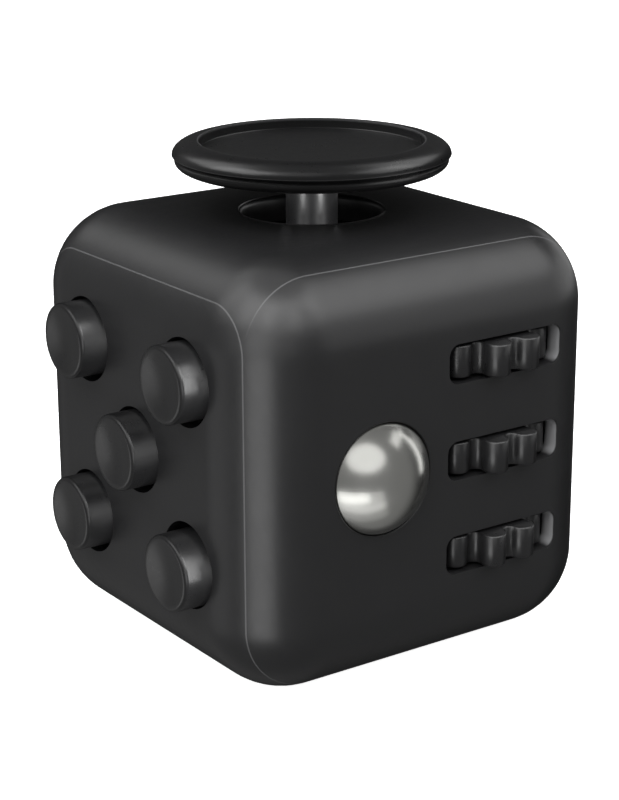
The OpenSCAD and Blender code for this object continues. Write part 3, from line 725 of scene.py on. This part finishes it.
def lobed_outline(tip_r):
    """Round lobes joined by hollows, each of which touches the lobes beside it."""
    half_pitch = math.pi / LOBES
    lobe = Vector((tip_r - LOBE_R, 0))
    valley = Vector((math.cos(half_pitch), math.sin(half_pitch)))
    aside = lobe.dot(Vector((-valley.y, valley.x)))
    reach = math.sqrt((LOBE_R + HOLLOW_R) ** 2 - aside ** 2)
    hub = valley * (lobe.dot(valley) + reach)
    turn_to = math.atan2(*reversed(hub - lobe))
    outline = []
    for i in range(LOBES):
        spin = Matrix.Rotation(2 * half_pitch * i, 2)
        for k in range(-8, 9):
            a = turn_to * k / 8
            outline.append(spin @ (lobe + Vector((math.cos(a), math.sin(a))) * LOBE_R))
        first = math.atan2(*reversed(lobe - hub))
        sweep = 2 * (half_pitch - first) % (2 * math.pi) - 2 * math.pi
        for k in range(1, 8):
            a = first + sweep * k / 8
            outline.append(spin @ (hub + Vector((math.cos(a), math.sin(a))) * HOLLOW_R))
    return outline


for node in WHEELS:
    low, high = box_mm(node)
    at = middle_mm("wheel_axle")
    tip_r = (at.y - low.y - LOBE_R) / math.cos(REST_TURN) + LOBE_R
    to_front = Matrix.Rotation(-math.pi / 2 - REST_TURN, 2)
    outline = [to_front @ p for p in lobed_outline(tip_r)]
    wheel = shape(node.replace("wheel", "cog_wheel"),
                  slab(outline, "z", low.z, high.z, (at.x, at.y, 0)))
    break_edges(wheel, 0.16, steps=3, slope=60)
    carve(wheel, "DIFFERENCE", turned([(0, low.z - 1), (AXLE_GAP, low.z - 1), (AXLE_GAP, high.z + 1),
                                       (0, high.z + 1)], "z", (at.x, at.y, 0), 48))
    smooth(wheel, 30)
    into_frame(wheel, node, "control_black", control_black, node)

# ---------------------------------------------------------------- rolling ball
# A satin-polished steel ball sits behind the front wall in a white acetal cup, which a small
# coil spring pushes forward; it rolls where it is and clicks when it is pressed.

ball_steel = Finish("ball_steel", Metallic=1.0)
brushed = ball_steel.noise(0.5, detail=4, roughness=0.6)
haze = ball_steel.noise(3.5, detail=2)
tone = ball_steel.mix(haze, (0.56, 0.56, 0.53, 1), (0.68, 0.68, 0.65, 1))
ball_steel.set(Base_Color=tone, Roughness=(haze - 0.5) * 0.06 + brushed * 0.05 + 0.21,
               Normal=ball_steel.bump(brushed, 0.0015))
BALL_TURNS = tuple(range(0, 46, 3))
ball = shape("steel_ball", rounded_cube(ball_r, ball_r - 1e-4, BALL_TURNS, ball_at))
smooth(ball, 60)
into_frame(ball, "ball", "ball_steel", ball_steel.material, "roll_ball")

# ---------------------------------------------------------------- flip switch
# A black rocker with a shallow waist flips about a steel pin behind the right wall; it is
# moulded as one block with rounded ends, so that it just clears its mouth at both stops.

ROCKER_TILT, ROCKER_DIP = 11, 0.7
rocker_end = math.degrees(math.asin((case_half - rocker_pin.x) / ROCKER_R)) + ROCKER_TILT
rocker_path = []
for a in range(0, 9):
    t = math.radians(rocker_end - 90 + (5 - rocker_end) * a / 8)
    rocker_path.append((ROCKER_R * math.sin(t), ROCKER_R * math.cos(t)))
face_end = rocker_path[0]
waist = ROCKER_R * math.sin(math.radians(rocker_end)) - ROCKER_DIP
upper = [(-z, x) for z, x in rocker_path]
lower_face = [(face_end[0] * (1 - k / 8), waist + (face_end[1] - waist) * (1 - k / 8) ** 1.7)
              for k in range(1, 8)]
upper_face = [(-z, x) for z, x in lower_face[::-1]]
outline = ([*rocker_path[::-1], *lower_face, (0, waist), *upper_face, *upper,
            (1.6, -1.3), (-1.6, -1.3)])
rocker = shape("flip_rocker_key", slab(outline, "y", -rocker_half, rocker_half))
break_edges(rocker, 0.22, steps=3, slope=45)
carve(rocker, "DIFFERENCE", turned([(0, -9), (0.85, -9), (0.85, 9), (0, 9)], "y", (0, 0, 0), 32))
smooth(rocker, 30)
rocker.data.transform(Matrix.Rotation(math.radians(ROCKER_TILT), 4, "Y"))
rocker.data.transform(Matrix.Translation((rocker_pin.x, 0, rocker_pin.z)))
into_frame(rocker, "rocker", "control_black", control_black, "flip_rocker")

# ---------------------------------------------------------------- spin dial
# A black disc turns in a pocket of the back cover on its own hollow shaft; a round nub near
# its rim is what the finger pushes. A washer and a screw hold it from inside.

nub = Vector((0, 0, centre_z + 4.6))
NUB_R = 1.5
dial_face = dial_high.y - 1.4
shaft_end = dial_low.y
SCREW_FLOOR = 14.8
dial_profile = [(0, SCREW_FLOOR), (0.72, SCREW_FLOOR),
                *eased([(0.72, shaft_end, 0), (1.98, shaft_end, 0.1), (1.98, pocket_floor + 0.1, 0),
                        (dial_r, pocket_floor + 0.1, 0.15), (dial_r, dial_face, 0.45),
                        (dial_r - 1.0, dial_face, 0.1), (dial_r - 1.25, dial_face - 0.18, 0.1),
                        (dial_r - 1.5, dial_face, 0.1), (0, dial_face - 0.05, 0)],
                       closed=False, steps=4)]
dial = shape("spin_dial_key", turned(dial_profile, "y", centre, 96))
nub_profile = [(0, dial_face - 0.5), (NUB_R + 0.25, dial_face - 0.5),
               *eased([(NUB_R + 0.35, dial_face - 0.05, 0), (NUB_R, dial_face, 0.25),
                       (NUB_R, dial_high.y, 0.45), (0, dial_high.y - 0.05, 0)], closed=False)]
carve(dial, "UNION", turned(nub_profile, "y", nub, 48))
smooth(dial)
into_frame(dial, "dial", "control_black", control_black, "spin_dial")

# ---------------------------------------------------------------- inner pieces
# Behind the walls the frames are grey nylon, the pins, springs and screws are steel, the
# domes are one silicone sheet on a green board, and the ball's cup and spacers are acetal.


def dress(finish, *nodes):
    """Gives CAD nodes a finish of their own."""
    for node in nodes:
        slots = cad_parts[node].data.materials
        slots.clear()
        slots.append(finish)


frame_grey = moulded_plastic("frame_grey", (0.035, 0.035, 0.037), (0.050, 0.050, 0.053), 0.5)
dress(frame_grey, "stick_socket", "wheel_bracket", "ball_frame", "rocker_frame")


def turned_steel(name, light, rough, ring_mm):
    """Drawn or turned steel, with fine rings and stains that change its gloss."""
    made = Finish(name, Metallic=1.0)
    fine = made.noise(ring_mm, detail=3, roughness=0.7)
    stain = made.noise(1.8, detail=2)
    tone = made.mix(stain, (*[c * 0.85 for c in light], 1), (*light, 1))
    return made.set(Base_Color=tone, Roughness=(stain - 0.5) * 0.15 + fine * 0.1 + rough,
                    Normal=made.bump(fine, 0.003))


spring_steel = turned_steel("spring_steel", (0.62, 0.63, 0.65), 0.22, 0.12)
dress(spring_steel, "stick_spring", "ball_spring", "rocker_leaf", "rocker_pin", "wheel_axle",
      "joint_cross", "dial_washer")
screw_steel = turned_steel("screw_steel", (0.42, 0.42, 0.44), 0.3, 0.2)
dress(screw_steel, "mount_screws", "dial_screw")

silicone = Finish("silicone", Subsurface_Weight=0.1, Specular_IOR_Level=0.35)
dust = silicone.noise(0.6, detail=3)
silicone.set(Base_Color=silicone.mix(dust, (0.22, 0.225, 0.23, 1), (0.28, 0.285, 0.29, 1)),
             Roughness=dust * 0.15 + 0.5, Normal=silicone.bump(dust, 0.004))
dress(silicone.material, "dome_pad")

acetal = Finish("white_acetal", Specular_IOR_Level=0.5)
flow = acetal.noise(1.5, detail=2)
acetal.set(Base_Color=acetal.mix(flow, (0.64, 0.63, 0.59, 1), (0.72, 0.71, 0.68, 1)),
           Roughness=flow * 0.1 + 0.35, Normal=acetal.bump(flow, 0.004))
dress(acetal.material, "ball_cup", "wheel_spacers")

board = Finish("board_green", Specular_IOR_Level=0.5)
weave = board.noise(0.25, detail=2)
board.set(Base_Color=board.mix(weave, (0.020, 0.062, 0.036, 1), (0.030, 0.085, 0.050, 1)),
          Roughness=weave * 0.15 + 0.3, Normal=board.bump(weave, 0.006))
dress(board.material, "button_backplate")

# ---------------------------------------------------------------- studio
# A plain white sweep under soft panels. One set lights the case, from a canopy over the front
# and the left down to low panels; the keys, the disc, the stem and the ball each have a set.

CENTRE_M = centre * MM
PANEL_REACH = 0.5        # metres from the cube's middle to each panel


def direction(azimuth, elevation):
    """The way from the cube to a place round it; azimuth turns as the camera's does."""
    a, e = math.radians(azimuth), math.radians(elevation)
    return Vector((math.sin(a) * math.cos(e), -math.cos(a) * math.cos(e), math.sin(e)))


def group_of(name, pieces, state):
    """A light's list of pieces that it reaches or spares."""
    group = bpy.data.collections.new(name)
    for piece in pieces:
        group.objects.link(piece)
    for member in group.collection_objects:
        member.light_linking.link_state = state
    return group


def panel(name, azimuth, elevation, width, height, brightness, sees=(), misses=(), shade=None,
          form="RECTANGLE"):
    """A soft panel that faces the cube and keeps out of every view.

    sees or misses lists the pieces it lights or spares, and shade those that stop its light.
    """
    lamp = bpy.data.lights.new(name, "AREA")
    lamp.shape, lamp.size, lamp.size_y = form, width, height
    lamp.energy = brightness * math.pi * width * height
    made = bpy.data.objects.new(name, lamp)
    out = direction(azimuth, elevation)
    made.location = CENTRE_M + out * PANEL_REACH
    made.rotation_mode = "QUATERNION"
    made.rotation_quaternion = (-out).to_track_quat("-Z", "Y")
    made.visible_camera = False
    bpy.context.scene.collection.objects.link(made)
    if sees:
        made.light_linking.receiver_collection = group_of(name + "_sees", sees, "INCLUDE")
    if misses:
        made.light_linking.receiver_collection = group_of(name + "_misses", misses, "EXCLUDE")
    if shade:
        made.light_linking.blocker_collection = group_of(name + "_shade", shade, "INCLUDE")
    return made


# the case: a canopy from the left round to the right, and low panels beside the front edge
disc, shaft = [disc_cap, disc_plate], [stem, collar]
apart = [ball, *keys, *disc, *shaft]
for azimuth, brightness in ((-150, 1.2), (-110, 1.8), (-70, 2.9), (-30, 2.3), (10, 1.7), (50, 2.3)):
    panel("case_canopy_%d" % azimuth, azimuth, 46, 0.37, 0.34, brightness, misses=apart)
panel("case_top", -60, 86, 0.42, 0.42, 0.75, misses=[ball, *keys, *disc])
for azimuth, elevation, brightness in ((-118, -20, 0.45), (-86, 10, 0.5), (-60, 10, 2.3),
                                       (-60, -20, 3.0), (-28, 10, 0.6), (40, 10, 0.7),
                                       (74, 10, 1.1), (104, 10, 0.8)):
    panel("case_low_%d_%d" % (azimuth, elevation), azimuth, elevation, 0.28, 0.24, brightness,
          misses=apart)

# the keys: bright on the sides that face the front, dim on their faces
for azimuth, elevation, brightness in ((-110, 40, 1.6), (-70, 40, 1.6), (-30, 40, 2.0), (10, 40, 6.4),
                                       (-118, -24, 1.0), (-30, 0, 1.8)):
    panel("keys_%d_%d" % (azimuth, elevation), azimuth, elevation, 0.33, 0.28, brightness, sees=keys)
panel("keys_sides", 36, 4, 0.26, 0.34, 12.0, sees=keys, shade=keys)

# the disc: bright along its left and right shoulders
for azimuth, elevation, brightness in ((-150, 46, 1.6), (-110, 46, 3.2), (-60, 60, 0.6), (50, 46, 2.0),
                                       (88, 46, 1.5), (40, -18, 1.3), (145, 18, 0.04)):
    panel("disc_%d_%d" % (azimuth, elevation), azimuth, elevation, 0.37, 0.30, brightness, sees=disc)

# the stem and the collar: two upright lines and a dim sheen, whatever stands in front
for azimuth, width, brightness in ((-74, 0.16, 14.0), (4, 0.16, 18.0), (145, 0.5, 7.0)):
    panel("shaft_%d" % azimuth, azimuth, -17 if azimuth < 90 else 25, width, 0.4, brightness,
          sees=shaft, shade=[stem])

# the ball: a soft window above, a bright band under its middle, a strip on its right
for size, brightness in ((0.56, 0.7), (0.44, 1.1), (0.34, 1.6), (0.24, 2.2), (0.16, 2.4)):
    panel("ball_window_%.2f" % size, -26, 36, size * 1.1, size * 0.8, brightness, sees=[ball],
          form="ELLIPSE")
for azimuth, elevation, width, height, brightness in (
        (-48, -31, 0.44, 0.16, 1.1), (-36, -40, 0.70, 0.34, 0.5), (-30, -60, 0.60, 0.30, 0.2),
        (82, 12, 0.10, 0.46, 1.3), (60, 40, 0.24, 0.12, 0.9), (-110, -30, 0.30, 0.30, 0.35)):
    panel("ball_%d_%d" % (azimuth, elevation), azimuth, elevation, width, height, brightness,
          sees=[ball])

# a white table whose rim rises into a wall all round
SWEEP = [(0, -0.02), (700, -0.02), (860, 40), (960, 140), (1000, 300), (1000, 1400)]
floor = smooth(shape("floor", turned(SWEEP, "z", steps=96)))
floor.data.transform(Matrix.Scale(MM, 4))
paper = Finish("floor_white", Roughness=0.9, Specular_IOR_Level=0.1,
               Emission_Color=(1, 1, 1, 1), Emission_Strength=0.9)
fibre = paper.noise(40, detail=2)
paper.set(Base_Color=paper.mix(fibre, (0.93, 0.93, 0.93, 1), (0.95, 0.95, 0.95, 1)))
floor.data.materials.append(paper.material)
floor.visible_glossy = floor.visible_diffuse = floor.visible_shadow = False

world = bpy.data.worlds.new("studio")
bpy.context.scene.world = world
air = Shading(world, "Generated")
lit_side = air.fade(air.along(direction(-55, 0)), -0.75, -0.25)
backdrop = air.tree.nodes["Background"]
air.feed(backdrop.inputs["Strength"], lit_side * 0.19 + 0.015)
backdrop.inputs["Color"].default_value = (1, 1, 1, 1)
bpy.context.scene.view_settings.view_transform = "Standard"

# the camera stands in front of the left front edge, a little above the cube
AZIMUTH, ELEVATION, ROLL = math.radians(-35.21), math.radians(17.58), math.radians(-0.19)
REACH, ASIDE, UP = 167.08, 0.23, -1.01
back_way = Vector((math.sin(AZIMUTH) * math.cos(ELEVATION),
                   -math.cos(AZIMUTH) * math.cos(ELEVATION), math.sin(ELEVATION)))
right_way = Vector((0, 0, 1)).cross(back_way).normalized()
up_way = back_way.cross(right_way)
level = Matrix((right_way, up_way, back_way))
roll = Matrix(((math.cos(ROLL), math.sin(ROLL), 0), (-math.sin(ROLL), math.cos(ROLL), 0), (0, 0, 1)))
aim = roll @ level
camera_data = bpy.data.cameras.new("camera")
camera_data.lens, camera_data.sensor_width = 94.65, 36
camera_data.clip_start, camera_data.clip_end = 0.01, 10
camera = bpy.data.objects.new("camera", camera_data)
camera.matrix_world = (Matrix.Translation(CENTRE_M + aim.transposed() @ Vector((-ASIDE, -UP, REACH)) * MM)
                       @ aim.transposed().to_4x4())
bpy.context.scene.collection.objects.link(camera)
bpy.context.scene.camera = camera
